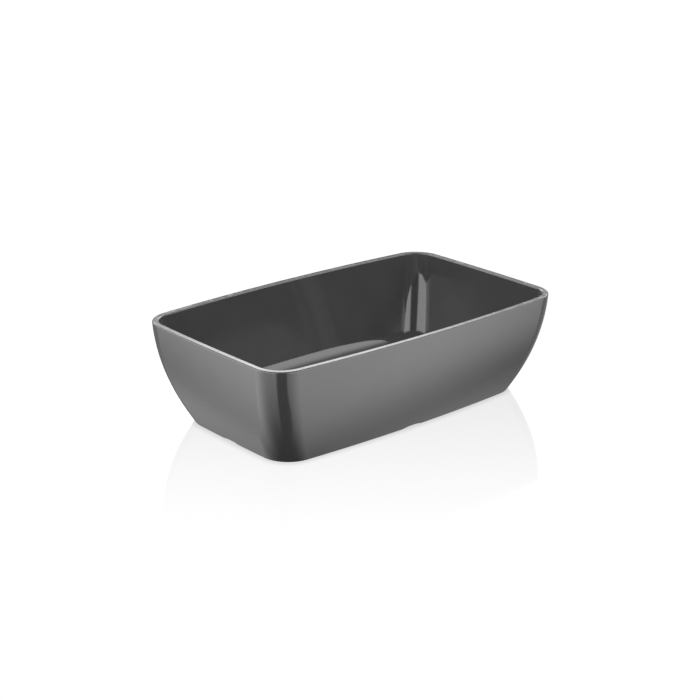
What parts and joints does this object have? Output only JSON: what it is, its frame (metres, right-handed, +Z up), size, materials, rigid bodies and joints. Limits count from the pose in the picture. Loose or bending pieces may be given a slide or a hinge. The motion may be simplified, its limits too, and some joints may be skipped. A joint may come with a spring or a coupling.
{
  "type": "loaf dish",
  "caption": "Deep rectangular dish moulded in one piece, with bowed curved walls, a thick flat rim, round corners and a low foot ring with drain notches.",
  "frame": {"origin": "centre of the foot, on the surface the dish rests on", "axes": "+X along the length, +Y along the width, +Z up, out of the open top"},
  "size_m": [0.2648, 0.1618, 0.074],
  "materials": {
    "dish": "glossy moulded melamine, neutral dark grey, fine wear on the rim"
  },
  "bodies": {
    "root": {"dish": "dish"}
  },
  "joints": []
}
